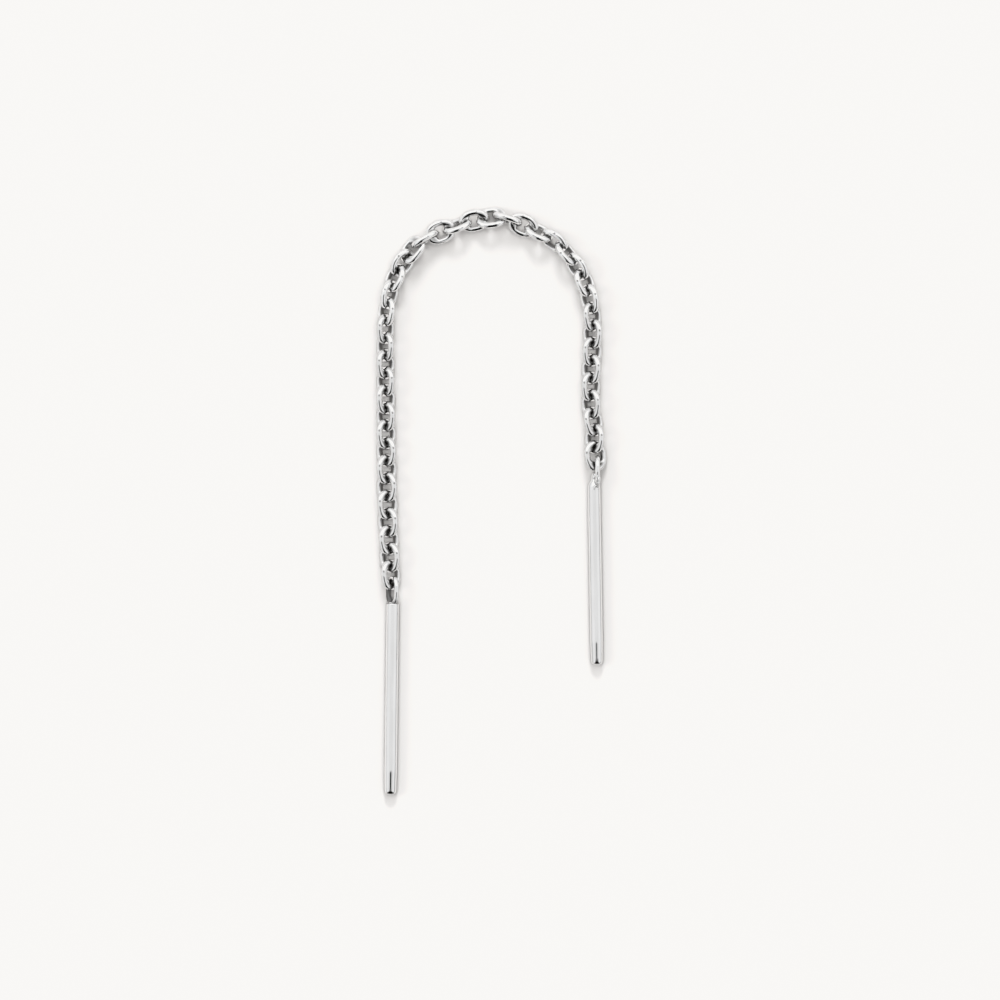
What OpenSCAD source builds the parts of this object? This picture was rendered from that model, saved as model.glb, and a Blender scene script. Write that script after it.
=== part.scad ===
// Chain drop earring: two slim round bars joined by a cable chain of oval links.
// It lies on a flat surface with the chain laid in a tall arch, the left leg the longer one.
// Lengths are in millimetres. X runs to the right, Y to the top of the arch, Z up from the surface.

/* [Bars] */
// Diameter of a bar, the part that goes through the ear
bar_d = 1.0; // [0.8:0.05:1]
// Length of a bar from its free tip to its soldered end, without the eye
bar_l = 13.7; // [10:0.1:15]
// Radius of the rounded rim at a bar's free tip
tip_round = 0.3; // [0.1:0.05:0.4]
// Length of the solder shoulder that narrows the right bar towards its eye
shoulder_l = 1.2; // [0.4:0.1:2]
// Diameter at the narrow end of the solder shoulder
shoulder_d = 0.56; // [0.44:0.02:0.8]
// Bevel round the soldered end of the left bar
end_bevel = 0.06; // [0.02:0.02:0.2]

/* [Eyes] */
// Diameter of the wire of an eye
eye_wire_d = 0.36; // [0.3:0.02:0.38]
// Outside length of the wire eye soldered to each bar
eye_l = 2.15; // [2.1:0.05:2.25]
// Outside width of an eye
eye_w = 1.4; // [1.36:0.01:1.5]
// Depth to which the left eye is sunk in its bar
left_sink = 0.18; // [0.1:0.02:0.24]
// Depth to which the right eye is sunk in its bar and solder
right_sink = 0.88; // [0.8:0.02:0.9]

/* [Chain] */
// Diameter of the wire of a link
wire_d = 0.44; // [0.4:0.01:0.44]
// Outside length of a link
link_l = 2.25; // [2.24:0.01:2.3]
// Outside width of a link
link_w = 1.75; // [1.72:0.01:1.8]
// How far a link may hang below the height at which its neighbours rest
droop = 0.08; // [0.02:0.01:0.1]

/* [Hidden] */
links = 42;
silver = [0.84, 0.85, 0.86];
$fn = 48;

// Running clearance under the chain, so that a tilted link stays above the surface
lift = 0.02;

// Left bar: soldered end, way from its free tip to there in degrees, and its eye's roll and sideways shift
left_end = [-7.09, -7.3];
left_way = 89.3;
left_roll = 124;
left_shift = 0.02;

// Right bar, likewise; its eye stands almost upright at the outer side of its end
right_end = [7.28, 1.99];
right_way = 90.9;
right_roll = 88;
right_shift = -0.28;

// Route of the chain, chosen by hand. Joint 0 lies between the left bar's eye and link 1, and joint n
// after link n.
JOINT = 0;
X = 1;
Y = 2;
route = [
    // joint, x, y
    [0, -7.2, -5.9],
    [4, -7.45, -0.9],
    [8, -7.55, 4.15],
    [12, -7.6, 9.15],
    [15, -7.6, 12.9],
    [16, -7.45, 14.15],
    [17, -7.2, 15.35],
    [18, -6.7, 16.5],
    [19, -6.05, 17.5],
    [20, -5.3, 18.4],
    [21, -4.25, 19],
    [22, -3.1, 19.45],
    [23, -1.9, 19.9],
    [24, -0.65, 20.15],
    [25, 0.55, 20.3],
    [26, 1.65, 19.95],
    [27, 2.8, 19.45],
    [28, 3.9, 18.95],
    [29, 4.95, 18.2],
    [30, 5.75, 17.25],
    [31, 6.4, 16.2],
    [32, 6.85, 15.05],
    [33, 7.1, 13.8],
    [34, 7.2, 12.55],
    [36, 7.12, 10.05],
    [38, 7.05, 7.55],
    [39, 7.12, 6.3],
    [40, 7.35, 5.05],
    [41, 7.32, 3.85],
    [42, 7.45, 2.6]
];

// Roll of a link about its length, in degrees: 0 lies flat and 90 stands on edge. The odd links and the
// even ones each turn evenly from one row to the next, so that neighbours cross.
odd_rolls = [
    // link, roll
    [1, 42],
    [3, 38],
    [5, 36],
    [13, 46],
    [17, 54],
    [19, 38],
    [21, 85],
    [23, 116],
    [25, 144],
    [27, 204],
    [29, 228],
    [33, 226],
    [35, 221],
    [41, 221]
];
even_rolls = [
    // link, roll
    [2, 144],
    [6, 144],
    [12, 134],
    [16, 128],
    [18, 133],
    [20, 142],
    [22, 195],
    [24, 208],
    [26, 262],
    [28, 306],
    [30, 302],
    [32, 314],
    [34, 314],
    [36, 320],
    [40, 317],
    [42, 335]
];

// Centreline radius of a link's round ends
link_bend = (link_w - wire_d) / 2;
// Centreline radius of an eye's round ends
eye_bend = (eye_w - eye_wire_d) / 2;

function link_name(i) = str("link_", i < 10 ? "0" : "", i);

// Number of the route row that starts the stretch with joint t in it
function stretch(t, k = 0) =
    k >= len(route) - 2 || t < route[k + 1][JOINT] ? k : stretch(t, k + 1);

// Slope of a column at row k, from the rows on either side of it
function slope(k, column) =
    let (
        before = route[max(k - 1, 0)],
        after = route[min(k + 1, len(route) - 1)]
    )
    (after[column] - before[column]) / (after[JOINT] - before[JOINT]);

// Value of a column at joint t, on a smooth cubic through the rows
function along(t, column) =
    let (
        k = stretch(t),
        span = route[k + 1][JOINT] - route[k][JOINT],
        u = (t - route[k][JOINT]) / span,
        u2 = u * u,
        u3 = u2 * u
    )
    route[k][column] * (2 * u3 - 3 * u2 + 1)
    + route[k + 1][column] * (3 * u2 - 2 * u3)
    + slope(k, column) * span * (u3 - 2 * u2 + u)
    + slope(k + 1, column) * span * (u3 - u2);

// Roll of link i
function roll(i) = lookup(i, i % 2 == 1 ? odd_rolls : even_rolls);

// Height of the middle of an eye above the surface that it rests on
function eye_height(eye_roll) = eye_wire_d / 2 + eye_bend * abs(sin(eye_roll));

// Height of the middle of loop i where it rests by itself; loops 0 and links + 1 are the two eyes
function rest_height(i) =
    i == 0 ? eye_height(left_roll)
    : i == links + 1 ? eye_height(right_roll)
    : wire_d / 2 + link_bend * abs(sin(roll(i)));

// Height of the middle of loop i in the chain, where its neighbours may hold it up
function height(i) =
    i == 0 || i == links + 1 ? rest_height(i)
    : i == links ? max(rest_height(i), rest_height(i + 1))
    : max(rest_height(i), rest_height(i - 1) - droop, rest_height(i + 1) - droop);

// Point of the chain's line at joint j
function joint_at(j) = [along(j, X), along(j, Y), lift + (height(j) + height(j + 1)) / 2];

// A closed loop of round wire with two half-round ends, its length along X and its width along Y
module wire_loop(length, width, wire) {
    bend = (width - wire) / 2;
    straight = length - width;
    for (end = [-1, 1])
        translate([end * straight / 2, 0, 0])
            rotate([0, 0, -90 * end])
                rotate_extrude(angle = 180) translate([bend, 0]) circle(d = wire);
    for (side = [-1, 1])
        translate([-straight / 2, side * bend, 0])
            rotate([0, 90, 0]) cylinder(d = wire, h = straight);
}

// One link of the chain, stretched between its two joints
module link(i) {
    from = joint_at(i - 1);
    to = joint_at(i);
    run = to - from;
    heading = atan2(run[1], run[0]);
    tilt = atan2(run[2], norm([run[0], run[1]]));
    middle = [(from[0] + to[0]) / 2, (from[1] + to[1]) / 2, lift + height(i)];
    color(silver)
        translate(middle)
            rotate([0, -tilt, heading])
                rotate([roll(i), 0, 0]) wire_loop(link_l, link_w, wire_d);
}

// A bar along X that ends at the origin, narrowed over neck_l to neck_d at that soldered end
module bar_body(neck_l, neck_d) {
    rim = bar_d / 2 - tip_round;
    profile = concat(
        [[0, 0]],
        [for (a = [-90:15:0]) [rim + tip_round * cos(a), tip_round + tip_round * sin(a)]],
        [[bar_d / 2, bar_l - neck_l], [neck_d / 2, bar_l], [0, bar_l]]
    );
    translate([-bar_l, 0, 0])
        rotate([0, 90, 0]) rotate_extrude() polygon(profile);
}

// A bar with its wire eye, laid along way; shift moves the eye to the left of that way
module ear_bar(end, way, neck_l, neck_d, sink, eye_roll, shift) {
    axis_z = bar_d / 2;
    color(silver)
        translate([end[0], end[1], axis_z])
            rotate([0, 0, way]) {
                bar_body(neck_l, neck_d);
                translate([eye_l / 2 - sink, shift, lift + eye_height(eye_roll) - axis_z])
                    rotate([eye_roll, 0, 0]) wire_loop(eye_l, eye_w, eye_wire_d);
            }
}

module ear_bar_left()
    ear_bar(left_end, left_way, end_bevel, bar_d - 2 * end_bevel, left_sink, left_roll, left_shift);

module ear_bar_right()
    ear_bar(right_end, right_way, shoulder_l, shoulder_d, right_sink, right_roll, right_shift);

ear_bar_left();
ear_bar_right();
for (i = [1:links])
    link(i);
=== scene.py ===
# Chain drop earring, seen from straight above: polished silver bars and a cable chain on a pale floor.
import math
import random

import bpy
import numpy as np
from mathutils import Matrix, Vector, noise


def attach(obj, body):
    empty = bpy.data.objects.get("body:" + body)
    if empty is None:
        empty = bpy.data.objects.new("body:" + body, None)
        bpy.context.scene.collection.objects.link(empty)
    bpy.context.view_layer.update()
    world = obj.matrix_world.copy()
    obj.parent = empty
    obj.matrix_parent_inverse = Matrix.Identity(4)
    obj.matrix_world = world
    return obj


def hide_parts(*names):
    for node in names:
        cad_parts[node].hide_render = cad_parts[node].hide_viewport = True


MM = 0.001

# The photo's frame: pixels per millimetre, and the pixel over the part's origin
PHOTO_SIDE = 1000
PX_PER_MM = 14.0
ORIGIN_PX = (492.0, 501.0)
# Height of the plane at which the photo's scale holds, about the middle of the chain
FOCUS_Z = 0.6 * MM
CAMERA_DISTANCE = 0.9
SENSOR = 36.0

# How finely wires are swept: rings along them, sides round them, and steps that measure their oval
WIRE_RINGS = 96
WIRE_SIDES = 28
OVAL_STEPS = 4001
# Power of the oval that a link's wire follows (2 is an ellipse), how far it varies from link to link, and the
# power of the fuller ones at the top of the arch
LINK_OVAL = 2.15
OVAL_SPREAD = (-0.04, 0.08)
FULL_OVAL = 2.6
FULL_LINKS = (20, 21, 25, 26)
# How much thicker the wire's inner side is beside each end of a link, and of an eye
LINK_FILL = 0.92
EYE_FILL = 0.46

# Painted shade and tarnish, from 0, bright, to 1, black: painted shade on the inner side of wires and where
# they face the floor, tarnish at a link's seam
INNER_SHADE = 0.75
UNDER_SHADE = 0.85
SEAM_TARNISH = 0.7
# The seam's place along a link, from its middle
SEAM_SHIFT = 0.28 * MM
# How strong a link's painted shade and seam tarnish are, at the top of the arch and elsewhere
TOP_LINKS = range(20, 29)
TOP_SHADE_AND_SEAM = 0.52
SHADE_AND_SEAM = 1.15
# Painted shade, a slight darkening all over the links of the legs; the arch has none
ARCH_LINKS = range(16, 34)
LEG_SHADE = 0.12

# Bars, in millimetres as in the solids
BAR_D = 1.0
BAR_L = 13.7
EYE_WIRE = 0.36
EYE_L = 2.15
EYE_W = 1.4
EYE_OVAL = 2.4
LIFT = 0.02
# The free end of a bar narrows slightly over this length
TAPER_L = 1.77
TAPER = math.tan(math.radians(1.4))
# How finely a bar is turned: sides round it, and rings along its rim, its taper and the rest
BAR_SIDES = 96
RIM_STEPS = 18
TAPER_STEPS = 6
BAR_STEPS = 44
# Length left between two stretches of a bar's rings
RING_GAP = 0.02
# How uneven a bar's radius is, as a share of it, and the size of that unevenness along the bar and round it
WAVER = 0.004
WAVER_L = 1.6
WAVER_ROUND = 1.3
WAVER_SHIFT = 0.028
# Painted dark reflection on a bar's free end: where it fades in and out, counted from the tip, the length
# over which it narrows, its least half width, and how its near edge bows
MARK_BEGIN = (0.05, 0.1)
MARK_END = (0.36, 0.24)
MARK_NARROWS = 0.24
MARK_LEAST = 0.03
MARK_BOW = 0.7
# Painted shade on a bar's flanks, where they reflect the shadowed floor: on its right one and on its left
# one, and how far round the bar it sets in
RIGHT_FLANK_SHADE = 0.2
LEFT_FLANK_SHADE = 0.08
FLANK = (0.72, 0.92)

# Material slots of a bar
PLAIN = 0
SOLDERED = 1

# Lumps of solder: rings and sides, how uneven they are and how finely, and how tarnished their pits are
LUMP_RINGS = 33
LUMP_SIDES = 48
LUMP_UNEVEN = 0.24
LUMP_FINENESS = 2.1
PIT_TARNISH = 0.9

# Silver where it is dull, where it is clean and where it is black with tarnish or painted shade, as shares of
# its brightness there
DULL_TINT = (0.935, 0.933, 0.93)
CLEAN_TINT = (1, 0.999, 0.997)
BLACK_TINT = (1, 0.93, 0.83)
# Spots of wear for each metre, and the roughness of black silver
WEAR_SPOTS = 2400
BLACK_ROUGHNESS = 0.35

# Strength of the tent's light: its walls, the wall at the picture's foot, the panels at the two sides, the
# window at the picture's top, a strip low on the right, the low wall on the left, and the slot
WALL = 0.88
FOOT_WALL = 0.64
SIDE_PANEL = 0.95
WINDOW = 1.35
RIGHT_STRIP = 0.3
LEFT_LOW = 0.66
SLOT = 0.01
# Half the slot's width overhead, as the sine of its angle, by how much it widens at the foot, and how late
SLOT_HALF = 0.19
SLOT_WIDENS = 0.35
SLOT_POWER = 5.0

# Lamps: name, azimuth from +X towards +Y and elevation in degrees, diameter in metres, and watts
LAMPS = [
    ("softbox", 90, 39, 0.95, 70),
    ("fill", 178, 38, 1.6, 36),
    ("overhead", 90, 89, 2.1, 60),
]
LAMP_DISTANCE = 3

# Tone curve from the scene's light to what is shown: even up to a knee, then a shoulder up to the floor's
# colour, which rises very little from one amount of light to another, and white for the brightest glints
KNEE = (0.7, 0.7)
SHOULDER = [(0.8, 0.79), (0.9, 0.87)]
FLOOR_FROM = 0.985
FLOOR_TO = 2.2
FLOOR_SHOWN = (0.9385, 0.931, 0.914)
FLOOR_RISE = 0.02
GLINT = (4, 1)
TONE_END = 8

# Floor and backdrop dome, in metres
FLOOR_HALF = 2
FLOOR_TINTS = ((0.501, 0.489, 0.478, 1), (0.505, 0.493, 0.483, 1))
DOME_R = 1.2
DOME_RINGS = 24
DOME_SIDES = 48
DOME_COLOUR = (0.93, 0.925, 0.915, 1)


def make_object(name, vertices, faces, slots=None, smooth=True):
    """A mesh object from vertices in metres and faces, with a material slot for each face."""
    mesh = bpy.data.meshes.new(name)
    mesh.from_pydata([tuple(v) for v in vertices], [], faces)
    mesh.polygons.foreach_set("use_smooth", [smooth] * len(mesh.polygons))
    if slots is not None:
        mesh.polygons.foreach_set("material_index", slots)
    mesh.update()
    piece = bpy.data.objects.new(name, mesh)
    bpy.context.scene.collection.objects.link(piece)
    return piece


def node_frame(solid):
    """Middle, axes (longest first) and full sizes along them of a link's solid, in metres."""
    points = np.array([v.co for v in solid.data.vertices])
    faces = np.array([p.center for p in solid.data.polygons])
    areas = np.array([p.area for p in solid.data.polygons])
    middle = (points.min(0) + points.max(0)) / 2
    spread = (faces - middle) * np.sqrt(areas)[:, None]
    _, axes = np.linalg.eigh(spread.T @ spread)
    axes = axes[:, ::-1].T
    if np.linalg.det(axes) < 0:
        axes[2] *= -1
    reach = (points - middle) @ axes.T
    return middle, axes, reach.max(0) - reach.min(0)


def smooth_step(value, low, high):
    """0 up to low and 1 from high on, with a smooth change between; low may be the larger one."""
    t = np.clip((value - low) / (high - low), 0, 1)
    return t * t * (3 - 2 * t)


def full_circle(sides):
    """Angles of evenly spaced sides round a circle."""
    return np.linspace(0, 2 * math.pi, sides, endpoint=False)


def grid_faces(rings, sides, closed):
    """Faces between rings of vertices, each ring closed on itself; closed joins the last to the first."""
    faces = []
    for i in range(rings if closed else rings - 1):
        for j in range(sides):
            k = (i + 1) % rings
            m = (j + 1) % sides
            faces.append((i * sides + j, k * sides + j, k * sides + m, i * sides + m))
    return faces


def oval_path(length, width, wire, power):
    """Points and outward directions along the middle of an oval wire, evenly spaced, in its own plane."""
    a, b = (length - wire) / 2, (width - wire) / 2
    t = np.linspace(0, 2 * math.pi, OVAL_STEPS)
    x = a * np.sign(np.cos(t)) * np.abs(np.cos(t)) ** (2 / power)
    y = b * np.sign(np.sin(t)) * np.abs(np.sin(t)) ** (2 / power)
    along = np.concatenate([[0], np.cumsum(np.hypot(np.diff(x), np.diff(y)))])
    at = np.linspace(0, along[-1], WIRE_RINGS, endpoint=False)
    points = np.stack([np.interp(at, along, x), np.interp(at, along, y)], 1)
    ahead = np.roll(points, -1, 0) - np.roll(points, 1, 0)
    ahead /= np.linalg.norm(ahead, axis=1)[:, None]
    return points, np.stack([ahead[:, 1], -ahead[:, 0]], 1)


def sweep_oval(length, width, wire, power, fill):
    """Vertices, faces and facing of a wire swept along an oval, thicker by fill inside, beside its ends."""
    points, outward = oval_path(length, width, wire, power)
    a = full_circle(WIRE_SIDES)
    r = wire / 2
    u = np.abs(points[:, 0]) / ((length - wire) / 2)
    v = np.abs(points[:, 1]) / ((width - wire) / 2)
    thicker = 1 + fill * smooth_step(u, 0.3, 0.7) * smooth_step(v, 0.15, 0.5)
    across = r * np.where(np.cos(a)[None] < 0, thicker[:, None] * np.cos(a)[None], np.cos(a)[None])
    flat = points[:, None] + outward[:, None] * across[:, :, None]
    high = np.broadcast_to(r * np.sin(a), across.shape)
    vertices = np.concatenate([flat, high[:, :, None]], 2)
    level = outward[:, None] * np.cos(a)[None, :, None]
    upright = np.broadcast_to(np.sin(a), across.shape)
    facing = np.concatenate([level, upright[:, :, None]], 2)
    return vertices.reshape(-1, 3), grid_faces(WIRE_RINGS, WIRE_SIDES, True), facing.reshape(-1, 3)


def painted_inner_shade(vertices, length, wire):
    """Painted shade on an oval wire's inner side, full at its two ends, where its neighbours cross it."""
    inward = np.tile(-np.cos(full_circle(WIRE_SIDES)), WIRE_RINGS)
    reach = np.abs(vertices[:, 0]) / ((length - wire) / 2)
    ends = smooth_step(reach, 0.4, 0.7) * smooth_step(inward, -0.1, 0.5)
    return np.maximum(ends, INNER_SHADE * smooth_step(inward, 0.4, 0.85))


def painted_underside_shade(facing):
    """Painted shade where silver faces the floor."""
    return UNDER_SHADE * smooth_step(-facing[:, 2], -0.1, 0.4)


def seam_spot(vertices, axes, width, wire):
    """A small dark spot on top of a link's upper side, where its wire was joined."""
    spot = np.array([0.0, axes[1, 2], axes[2, 2]])
    spot *= wire / 2 / np.linalg.norm(spot)
    spot[0] = math.copysign(SEAM_SHIFT, axes[0, 1])
    spot[1] += math.copysign((width - wire) / 2, axes[1, 2])
    return SEAM_TARNISH * smooth_step(np.linalg.norm(vertices - spot, axis=1), 0.1 * MM, 0.04 * MM)


def set_tarnish_and_shade(piece, values):
    """Keeps how tarnished or darkened with painted shade each vertex is, from 0 to 1, for the silver's nodes.
    """
    layer = piece.data.attributes.new("tarnish_and_shade", "FLOAT", "POINT")
    layer.data.foreach_set("value", np.asarray(values, dtype=np.float32))


def make_link(node):
    """A finely swept oval link in place of the CAD node."""
    number = int(node[-2:])
    middle, axes, (length, width, wire) = node_frame(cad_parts[node])
    power = FULL_OVAL if number in FULL_LINKS else LINK_OVAL + dice.uniform(*OVAL_SPREAD)
    vertices, faces, facing = sweep_oval(length, width, wire, power, LINK_FILL)
    piece = make_object(node.replace("link", "chain_link"), vertices @ axes + middle, faces)
    # Painted shade inside the wire, at its ends and underneath, with the tarnish of its seam; wear sets how
    # strong they are, and the links of the legs get painted shade all over as well
    shade_and_seam = np.maximum(painted_inner_shade(vertices, length, wire), painted_underside_shade(facing @ axes))
    shade_and_seam = np.maximum(shade_and_seam, seam_spot(vertices, axes, width, wire))
    wear = TOP_SHADE_AND_SEAM if number in TOP_LINKS else SHADE_AND_SEAM
    leg_shade = 0.0 if number in ARCH_LINKS else LEG_SHADE
    set_tarnish_and_shade(piece, np.clip(wear * shade_and_seam, leg_shade, 1))
    piece.data.materials.append(chain_silver)
    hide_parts(node)
    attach(piece, "root")


def lathe(stations):
    """Vertices, faces and facing of a turned shape along X; stations are (x, radius, sideways shift)."""
    angles = full_circle(BAR_SIDES)
    vertices = []
    for x, radius, shift in stations:
        for a in angles:
            across, up = math.cos(a), math.sin(a)
            place = Vector((x / WAVER_L, WAVER_ROUND * across, WAVER_ROUND * up + WAVER_SHIFT))
            r = radius * (1 - WAVER * (0.5 + 0.5 * noise.noise(place)))
            vertices.append((x, shift + r * across, r * up))
    facing = np.tile(np.stack([0 * angles, np.cos(angles), np.sin(angles)], 1), (len(stations), 1))
    return np.array(vertices), grid_faces(len(stations), BAR_SIDES, False), facing


def free_end(rim):
    """Stations of a bar's free end: a face with a slight dome, a rim rounded to a radius, and the taper."""
    neck = BAR_D / 2 - (TAPER_L - rim) * TAPER
    face = neck - rim
    stations = [(0.0, 0.001, 0.0), (0.001, face * 0.4, 0.0), (0.004, face * 0.8, 0.0)]
    for k in range(RIM_STEPS + 1):
        a = math.radians(-86 + 86 * k / RIM_STEPS)
        stations.append((rim + rim * math.sin(a), face + rim * math.cos(a), 0.0))
    for k in range(1, TAPER_STEPS + 1):
        x = rim + (TAPER_L - rim) * k / TAPER_STEPS
        stations.append((x, BAR_D / 2 - (TAPER_L - x) * TAPER, 0.0))
    return stations


def painted_tip_reflection(vertices, from_tip, half):
    """A painted dark reflection on a bar's free end, as wide as half on either side, where the tip's rim
    shows black.
    """
    aside = np.abs(vertices[:, 1])
    begin = smooth_step(from_tip - MARK_BOW * aside ** 2, *MARK_BEGIN)
    end = smooth_step(from_tip, *MARK_END)
    narrow = MARK_LEAST + half * np.clip((MARK_END[0] - from_tip) / MARK_NARROWS, 0, 1) ** 1.5
    return begin * end * smooth_step(aside - narrow, 0.04, -0.03) * (vertices[:, 2] > 0)


def bar_body(rim, tip_reflection_half, solder, seam_and_shade):
    """The turned body of a bar: its free end's rim and painted dark reflection, its soldered end, its darker
    joint, and painted shade underneath and on its flanks.
    """
    stations = free_end(rim)
    start = TAPER_L + RING_GAP
    run = BAR_L + solder[0][0] - RING_GAP - TAPER_L - RING_GAP
    stations += [(start + run * k / BAR_STEPS, BAR_D / 2, 0.0) for k in range(1, BAR_STEPS + 1)]
    stations += [(BAR_L + x, radius, shift) for x, radius, shift in solder]
    vertices, faces, facing = lathe(stations)
    vertices[:, 0] -= BAR_L
    # Painted shade on the flanks, stronger on the right one
    flank_shade = np.where(facing[:, 1] < 0, RIGHT_FLANK_SHADE, LEFT_FLANK_SHADE) * smooth_step(np.abs(facing[:, 1]), *FLANK)
    # Painted shade underneath and on the flanks, darker at the soldered joint, and the painted dark
    # reflection at the tip
    tarnish_and_shade = np.maximum.reduce([
        painted_underside_shade(facing), seam_and_shade * smooth_step(vertices[:, 0], -0.05, -0.01),
        painted_tip_reflection(vertices, vertices[:, 0] + BAR_L, tip_reflection_half), flank_shade])
    rough_from = BAR_L + solder[0][0] - 0.05
    slots = [SOLDERED if stations[k // BAR_SIDES][0] > rough_from else PLAIN for k in range(len(faces))]
    return vertices, faces, slots, tarnish_and_shade


def bar_eye(roll, shift, sink, slot, seam_and_shade, low_side_shade):
    """A bar's wire eye: its place, its material slot, how dark its soldered foot is, and painted shade on its
    inner side and its lower side.
    """
    eye, faces, facing = sweep_oval(EYE_L, EYE_W, EYE_WIRE, EYE_OVAL, EYE_FILL)
    foot = smooth_step(-eye[:, 0], 0.55, 0.85)
    inward = smooth_step(-(facing[:, :2] * eye[:, :2]).sum(1), 0.0, 0.25)
    a = math.radians(roll)
    turn = np.array([[1, 0, 0], [0, math.cos(a), -math.sin(a)], [0, math.sin(a), math.cos(a)]])
    # Darker at the soldered foot; painted shade on the inner side, on the lower side, beside the upper end
    # and underneath
    tarnish_and_shade = np.maximum.reduce([
        seam_and_shade * foot * (0.55 + 0.45 * inward), 0.85 * seam_and_shade * inward,
        low_side_shade * smooth_step(-eye[:, 1], 0.1, 0.4),
        painted_inner_shade(eye, EYE_L, EYE_WIRE) * smooth_step(eye[:, 0], -0.9, -0.5),
        painted_underside_shade(facing @ turn.T)])
    height = LIFT + EYE_WIRE / 2 + (EYE_W - EYE_WIRE) / 2 * abs(math.sin(a)) - BAR_D / 2
    vertices = eye @ turn.T + np.array([EYE_L / 2 - sink, shift, height])
    return vertices, faces, [slot] * len(faces), tarnish_and_shade


def solder_lump(middle, size, seed):
    """A small lump of solder, tarnished in its pits: an uneven ellipsoid, open just short of its poles."""
    vertices, uneven = [], []
    for i in range(LUMP_RINGS):
        b = math.pi * (i + 0.02) / (LUMP_RINGS - 1 + 0.04)
        for a in full_circle(LUMP_SIDES):
            way = Vector((math.cos(b), math.sin(b) * math.cos(a), math.sin(b) * math.sin(a)))
            uneven.append(noise.noise(way * LUMP_FINENESS + Vector((seed, 0, 0))))
            swell = 1 + LUMP_UNEVEN * uneven[-1]
            vertices.append([middle[k] + size[k] * way[k] * swell for k in range(3)])
    faces = grid_faces(LUMP_RINGS, LUMP_SIDES, False)
    pits = PIT_TARNISH * smooth_step(-np.array(uneven), 0.22, 0.42)
    return np.array(vertices), faces, [SOLDERED] * len(faces), pits


def make_bar(name, node, end, way, parts):
    """A bar in place of the CAD node: its parts laid along way in degrees, with the soldered end at end."""
    all_faces, all_slots, start = [], [], 0
    for vertices, faces, slots, _ in parts:
        all_faces += [tuple(start + v for v in face) for face in faces]
        all_slots += slots
        start += len(vertices)
    a = math.radians(way)
    lay = np.array([[math.cos(a), -math.sin(a), 0], [math.sin(a), math.cos(a), 0], [0, 0, 1]])
    placed = np.concatenate([part[0] for part in parts]) @ lay.T + np.array([*end, BAR_D / 2])
    piece = make_object(name, placed * MM, all_faces, all_slots)
    set_tarnish_and_shade(piece, np.concatenate([part[3] for part in parts]))
    piece.data.materials.append(bar_silver)
    piece.data.materials.append(solder_silver)
    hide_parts(node)
    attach(piece, "root")


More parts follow.
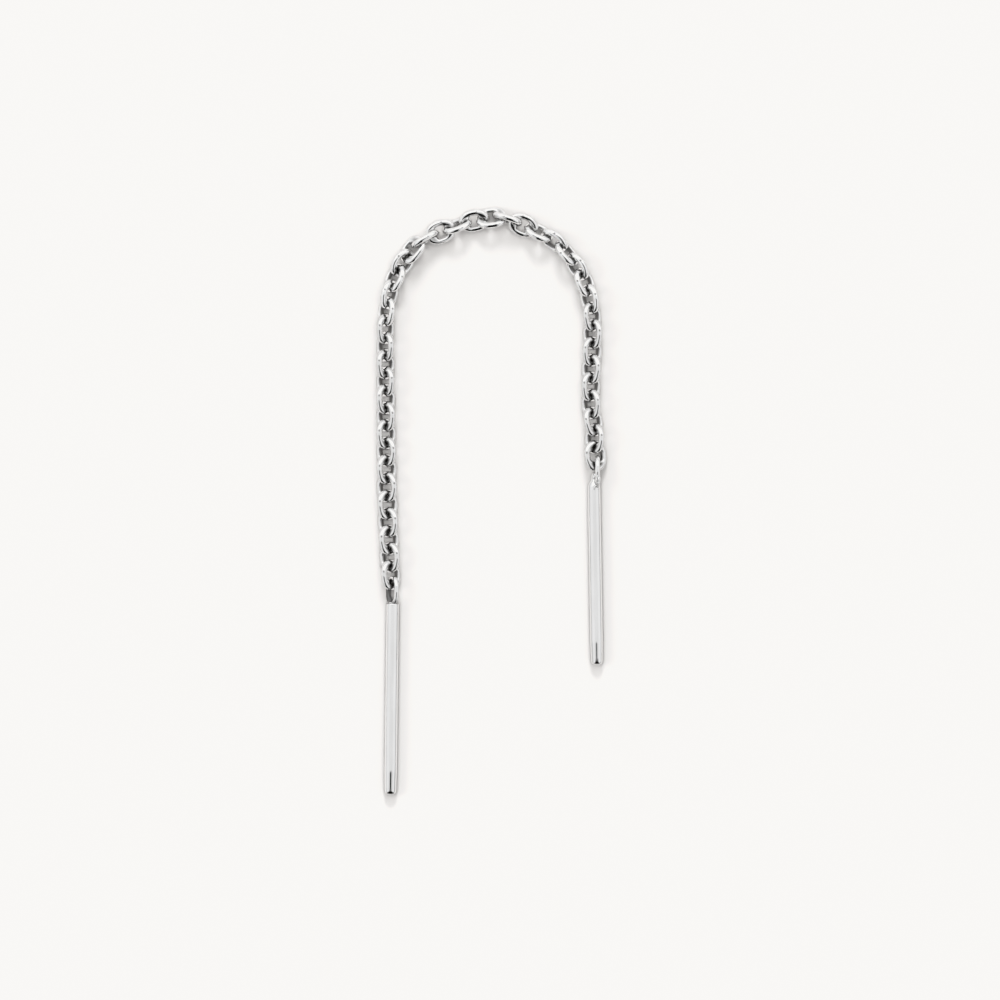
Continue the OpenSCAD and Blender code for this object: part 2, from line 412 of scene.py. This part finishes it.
class Nodes:
    """Builds values with the shader nodes of a material or of the world."""

    def __init__(self, tree):
        self.tree = tree

    def put(self, socket, value):
        """Links a socket's output to an input, or sets the input to a plain value."""
        if isinstance(value, bpy.types.NodeSocket):
            self.tree.links.new(value, socket)
        else:
            socket.default_value = value

    def math(self, operation, a, b=0.0):
        node = self.tree.nodes.new("ShaderNodeMath")
        node.operation = operation
        self.put(node.inputs[0], a)
        self.put(node.inputs[1], b)
        return node.outputs[0]

    def dot(self, vector):
        """How far the direction that a ray leaves in goes along a fixed vector, in the world."""
        node = self.tree.nodes.new("ShaderNodeVectorMath")
        node.operation = "DOT_PRODUCT"
        self.put(node.inputs[0], self.tree.nodes.new("ShaderNodeTexCoord").outputs["Generated"])
        node.inputs[1].default_value = vector
        return node.outputs["Value"]

    def step(self, value, low, high):
        """0 where value is at low and 1 where it is at high, with a smooth change between."""
        node = self.tree.nodes.new("ShaderNodeMapRange")
        node.interpolation_type = "SMOOTHSTEP"
        self.put(node.inputs["Value"], value)
        node.inputs["From Min"].default_value = low
        node.inputs["From Max"].default_value = high
        return node.outputs["Result"]

    def blend(self, below, above, mask):
        """The value below where the mask is 0 and above where it is 1."""
        node = self.tree.nodes.new("ShaderNodeMix")
        self.put(node.inputs["Factor"], mask)
        self.put(node.inputs["A"], below)
        self.put(node.inputs["B"], above)
        return node.outputs["Result"]

    def blend_colours(self, below, above, mask):
        """The colour below where the mask is 0 and above where it is 1."""
        node = self.tree.nodes.new("ShaderNodeMix")
        node.data_type = "RGBA"
        self.put(node.inputs[0], mask)
        self.put(node.inputs[6], below)
        self.put(node.inputs[7], above)
        return node.outputs[2]

    def panel(self, azimuth, elevation, half_width, half_height, soft):
        """1 inside a soft-edged panel seen in that direction; degrees, azimuth from +X towards +Y."""
        a, e = math.radians(azimuth), math.radians(elevation)
        ahead = (math.cos(a) * math.cos(e), math.sin(a) * math.cos(e), math.sin(e))
        side = (-math.sin(a), math.cos(a), 0.0)
        up = (-math.cos(a) * math.sin(e), -math.sin(a) * math.sin(e), math.cos(e))
        depth = self.math("MAXIMUM", self.dot(ahead), 0.0001)
        mask = self.step(self.dot(ahead), 0.0, 0.05)
        for axis, half in ((side, half_width), (up, half_height)):
            reach = math.tan(math.radians(half))
            edge = math.tan(math.radians(half + soft))
            across = self.math("ABSOLUTE", self.math("DIVIDE", self.dot(axis), depth))
            mask = self.math("MULTIPLY", mask, self.step(across, edge, reach))
        return mask

    def grain(self, scale, detail, stretch=(1, 1, 1)):
        """Noise over the object, from 0 to 1; scale counts its lumps per metre."""
        mapping = self.tree.nodes.new("ShaderNodeMapping")
        mapping.inputs["Scale"].default_value = stretch
        self.put(mapping.inputs["Vector"], self.tree.nodes.new("ShaderNodeTexCoord").outputs["Object"])
        node = self.tree.nodes.new("ShaderNodeTexNoise")
        self.put(node.inputs["Vector"], mapping.outputs["Vector"])
        node.inputs["Scale"].default_value = scale
        node.inputs["Detail"].default_value = detail
        return node.outputs["Fac"]

    def bump(self, height, distance, under=None):
        """A normal bumped by a height from 0 to 1 over a distance in metres."""
        node = self.tree.nodes.new("ShaderNodeBump")
        node.inputs["Strength"].default_value = 1.0
        node.inputs["Distance"].default_value = distance
        self.put(node.inputs["Height"], height)
        if under is not None:
            self.put(node.inputs["Normal"], under)
        return node.outputs["Normal"]


def new_material(name):
    material = bpy.data.materials.new(name)
    material.use_nodes = True
    return material, material.node_tree.nodes["Principled BSDF"], Nodes(material.node_tree)


def shaded(tint, brightness):
    """A colour with alpha, from a tint and a brightness."""
    return tuple(brightness * share for share in tint) + (1,)


def silver(name, bright, black, smooth, rough, lumps, scratches, stretch=(1, 1, 1)):
    """Polished silver that goes black and rougher with tarnish and painted shade, its roughness from smooth
    to rough.

    Slight lumps and fine scratches, each (how many per metre, their height in metres), unsettle its
    reflections, and stretch draws its wear and scratches out.
    """
    material, shader, nodes = new_material(name)
    shader.inputs["Metallic"].default_value = 1.0
    shader.inputs["Specular Tint"].default_value = (0.4, 0.4, 0.4, 1)
    wear = nodes.grain(WEAR_SPOTS, 5, stretch)
    tint = nodes.blend_colours(
        shaded(DULL_TINT, bright), shaded(CLEAN_TINT, bright), nodes.step(wear, 0.3, 0.7))
    attribute = nodes.tree.nodes.new("ShaderNodeAttribute")
    attribute.attribute_name = "tarnish_and_shade"
    tarnish_and_shade = attribute.outputs["Fac"]
    tint = nodes.blend_colours(tint, shaded(BLACK_TINT, black), tarnish_and_shade)
    nodes.put(shader.inputs["Base Color"], tint)
    polish = nodes.blend(smooth, rough, nodes.step(wear, 0.35, 0.75))
    nodes.put(shader.inputs["Roughness"], nodes.blend(polish, BLACK_ROUGHNESS, tarnish_and_shade))
    lumpy = nodes.bump(nodes.grain(lumps[0], 1.5), lumps[1])
    scratched = nodes.bump(nodes.grain(scratches[0], 3, stretch), scratches[1], lumpy)
    nodes.put(shader.inputs["Normal"], scratched)
    return material


def studio_world():
    """A white tent round the floor: a window at the picture's top, a dark slot from overhead to its foot."""
    world = bpy.data.worlds.new("studio")
    world.use_nodes = True
    bpy.context.scene.world = world
    nodes = Nodes(world.node_tree)
    foot = nodes.dot((0, -1, 0))
    high = nodes.dot((0, 0, 1))
    right = nodes.dot((1, 0, 0))
    left = nodes.dot((-1, 0, 0))

    light = nodes.blend(WALL, FOOT_WALL, nodes.step(foot, 0.045, 0.08))
    for azimuth in (0, 180):
        panel = nodes.panel(azimuth, elevation=42, half_width=34, half_height=12, soft=10)
        light = nodes.blend(light, SIDE_PANEL, panel)
    window = nodes.panel(92, elevation=55, half_width=42, half_height=16, soft=8)
    light = nodes.blend(light, WINDOW, window)

    # The strip is the grey line beside a bar's right edge, and the low wall dims its left edge
    strip = nodes.math("MULTIPLY", nodes.step(high, 0.03, 0.08), nodes.step(high, 0.24, 0.19))
    light = nodes.blend(light, RIGHT_STRIP, nodes.math("MULTIPLY", strip, nodes.step(right, 0.55, 0.8)))
    low = nodes.math("MULTIPLY", nodes.step(high, 0.22, 0.1), nodes.step(left, 0.6, 0.85))
    light = nodes.blend(light, LEFT_LOW, low)

    # The slot is the dark line at a bar's tip and the dark bands on the links
    widening = nodes.math("POWER", nodes.math("MAXIMUM", foot, 0.0), SLOT_POWER)
    half = nodes.math("ADD", SLOT_HALF, nodes.math("MULTIPLY", SLOT_WIDENS, widening))
    across = nodes.math("DIVIDE", nodes.math("ABSOLUTE", right), half)
    slot = nodes.math("MULTIPLY", nodes.step(across, 1.15, 0.9), nodes.step(foot, 0.045, 0.065))
    light = nodes.blend(light, SLOT, slot)

    background = world.node_tree.nodes["Background"]
    background.inputs["Color"].default_value = (1, 1, 1, 1)
    nodes.put(background.inputs["Strength"], light)


def make_lamp(name, azimuth, elevation, size, watts):
    """A soft round lamp that lights the floor; the metal's reflections come from the tent alone."""
    data = bpy.data.lights.new(name, "AREA")
    data.shape = "DISK"
    data.size = size
    data.energy = watts
    lamp = bpy.data.objects.new(name, data)
    bpy.context.scene.collection.objects.link(lamp)
    a, e = math.radians(azimuth), math.radians(elevation)
    way = Vector((math.cos(a) * math.cos(e), math.sin(a) * math.cos(e), math.sin(e)))
    lamp.location = way * LAMP_DISTANCE
    lamp.rotation_euler = way.to_track_quat("Z", "Y").to_euler()
    lamp.visible_glossy = False
    lamp.visible_camera = False


def set_tone():
    """The usual tone of a product photo: the floor lies in the shoulder, just short of white."""
    view = bpy.context.scene.view_settings
    view.view_transform = "Standard"
    view.use_curve_mapping = True
    mapping = view.curve_mapping
    mapping.use_clip = False
    mapping.extend = "HORIZONTAL"
    mapping.clip_max_x = TONE_END
    for channel, shown in enumerate(FLOOR_SHOWN):
        curve = mapping.curves[channel]
        curve.points[0].location = (0, 0)
        curve.points[1].location = KNEE
        floor = [(FLOOR_FROM, shown), (FLOOR_TO, shown + FLOOR_RISE)]
        for x, y in SHOULDER + floor + [GLINT]:
            curve.points.new(x, y)
        for point in curve.points:
            point.handle_type = "AUTO_CLAMPED"
    mapping.update()


def make_camera():
    """A long-lens camera straight above, with the photo's frame."""
    data = bpy.data.cameras.new("camera")
    camera = bpy.data.objects.new("camera", data)
    bpy.context.scene.collection.objects.link(camera)
    across = PHOTO_SIDE / PX_PER_MM * MM
    data.sensor_width = SENSOR
    data.lens = SENSOR * CAMERA_DISTANCE / across
    data.clip_start = 0.01
    data.clip_end = 10
    x = (PHOTO_SIDE / 2 - ORIGIN_PX[0]) / PX_PER_MM * MM
    y = (ORIGIN_PX[1] - PHOTO_SIDE / 2) / PX_PER_MM * MM
    camera.location = (x, y, FOCUS_Z + CAMERA_DISTANCE)
    bpy.context.scene.camera = camera


def make_floor():
    """A pale matt floor with the faintest mottling."""
    corners = [(-1, -1), (1, -1), (1, 1), (-1, 1)]
    vertices = [(x * FLOOR_HALF, y * FLOOR_HALF, 0) for x, y in corners]
    floor = make_object("floor", vertices, [(0, 1, 2, 3)], smooth=False)
    material, shader, nodes = new_material("floor_paint")
    mottling = nodes.step(nodes.grain(30, 3), 0.3, 0.7)
    nodes.put(shader.inputs["Base Color"], nodes.blend_colours(*FLOOR_TINTS, mottling))
    shader.inputs["Roughness"].default_value = 0.85
    shader.inputs["Specular IOR Level"].default_value = 0.2
    floor.data.materials.append(material)


def make_backdrop():
    """A pale dome behind everything, seen only by the camera, so that low views end on a plain background."""
    vertices = []
    for i in range(DOME_RINGS):
        b = math.pi / 2 * i / (DOME_RINGS - 1) * 0.999
        for a in full_circle(DOME_SIDES):
            level = DOME_R * math.cos(b)
            vertices.append((level * math.cos(a), level * math.sin(a), DOME_R * math.sin(b)))
    dome = make_object("backdrop", vertices, grid_faces(DOME_RINGS, DOME_SIDES, False))
    material = bpy.data.materials.new("backdrop_white")
    material.use_nodes = True
    tree = material.node_tree
    tree.nodes.remove(tree.nodes["Principled BSDF"])
    glow = tree.nodes.new("ShaderNodeEmission")
    glow.inputs["Color"].default_value = DOME_COLOUR
    tree.links.new(glow.outputs["Emission"], tree.nodes["Material Output"].inputs["Surface"])
    dome.data.materials.append(material)
    dome.visible_diffuse = False
    dome.visible_glossy = False
    dome.visible_transmission = False
    dome.visible_shadow = False


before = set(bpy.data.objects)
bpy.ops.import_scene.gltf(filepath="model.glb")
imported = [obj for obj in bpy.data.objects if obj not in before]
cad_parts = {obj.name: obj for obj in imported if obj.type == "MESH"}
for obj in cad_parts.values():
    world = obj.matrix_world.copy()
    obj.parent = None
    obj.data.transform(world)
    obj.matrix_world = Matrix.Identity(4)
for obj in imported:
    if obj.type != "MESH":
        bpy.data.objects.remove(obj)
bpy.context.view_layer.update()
dice = random.Random(5)

make_camera()
chain_silver = silver(
    "chain_silver", bright=0.92, black=0.06, smooth=0.03, rough=0.07,
    lumps=(900, 0.0000015), scratches=(14000, 0.00000025))
bar_silver = silver(
    "bar_silver", bright=0.86, black=0.02, smooth=0.035, rough=0.08,
    lumps=(420, 0.000003), scratches=(16000, 0.0000004), stretch=(1, 0.12, 1))
solder_silver = silver(
    "solder_silver", bright=0.86, black=0.06, smooth=0.09, rough=0.2,
    lumps=(3800, 0.000012), scratches=(16000, 0.000001))

for node in sorted(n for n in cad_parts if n.startswith("link_")):
    make_link(node)

# The soldered end of each bar, in millimetres: stations as (x from the bar's end, radius, sideways shift)
left_solder = [
    (-0.14, 0.5, 0.0), (-0.1, 0.499, 0.0), (-0.06, 0.492, 0.0), (-0.03, 0.477, 0.0),
    (-0.012, 0.455, 0.0), (-0.003, 0.425, 0.0), (0.0, 0.39, 0.0), (0.004, 0.2, 0.0),
    (0.005, 0.001, 0.0)]
right_solder = [
    (-1.22, 0.5, 0.0), (-1.1, 0.498, 0.0), (-0.95, 0.49, -0.006), (-0.8, 0.475, -0.02),
    (-0.68, 0.445, -0.05), (-0.58, 0.41, -0.09), (-0.48, 0.38, -0.12), (-0.36, 0.37, -0.13),
    (-0.2, 0.36, -0.135), (-0.06, 0.34, -0.15), (0.04, 0.28, -0.19), (0.1, 0.2, -0.21),
    (0.13, 0.001, -0.22)]

# The lumps' middles and half sizes are in millimetres as well, from the middle of the bar's soldered end
make_bar("bar_left", "ear_bar_left", end=(-7.09, -7.3), way=89.3, parts=[
    bar_body(rim=0.3, tip_reflection_half=0.28, solder=left_solder, seam_and_shade=0.95),
    bar_eye(roll=124, shift=0.02, sink=0.18, slot=PLAIN, seam_and_shade=0.95, low_side_shade=0.85),
    solder_lump((-0.03, 0.08, 0.2), (0.16, 0.2, 0.24), 3),
])
make_bar("bar_right", "ear_bar_right", end=(7.28, 1.99), way=90.9, parts=[
    bar_body(rim=0.24, tip_reflection_half=0.16, solder=right_solder, seam_and_shade=0.0),
    bar_eye(roll=88, shift=-0.28, sink=0.88, slot=SOLDERED, seam_and_shade=0.0, low_side_shade=0.0),
    solder_lump((-0.25, -0.22, 0.02), (0.5, 0.26, 0.34), 5),
    solder_lump((-0.5, -0.25, 0.3), (0.42, 0.25, 0.44), 9),
    solder_lump((-0.44, -0.28, 0.6), (0.5, 0.2, 0.34), 14),
    solder_lump((-0.86, -0.2, 0.36), (0.26, 0.16, 0.16), 21),
    solder_lump((-1.04, -0.02, 0.42), (0.17, 0.1, 0.13), 33),
    solder_lump((-0.3, 0.02, 0.16), (0.3, 0.14, 0.22), 41),
])

make_floor()
make_backdrop()
studio_world()
for lamp in LAMPS:
    make_lamp(*lamp)
set_tone()
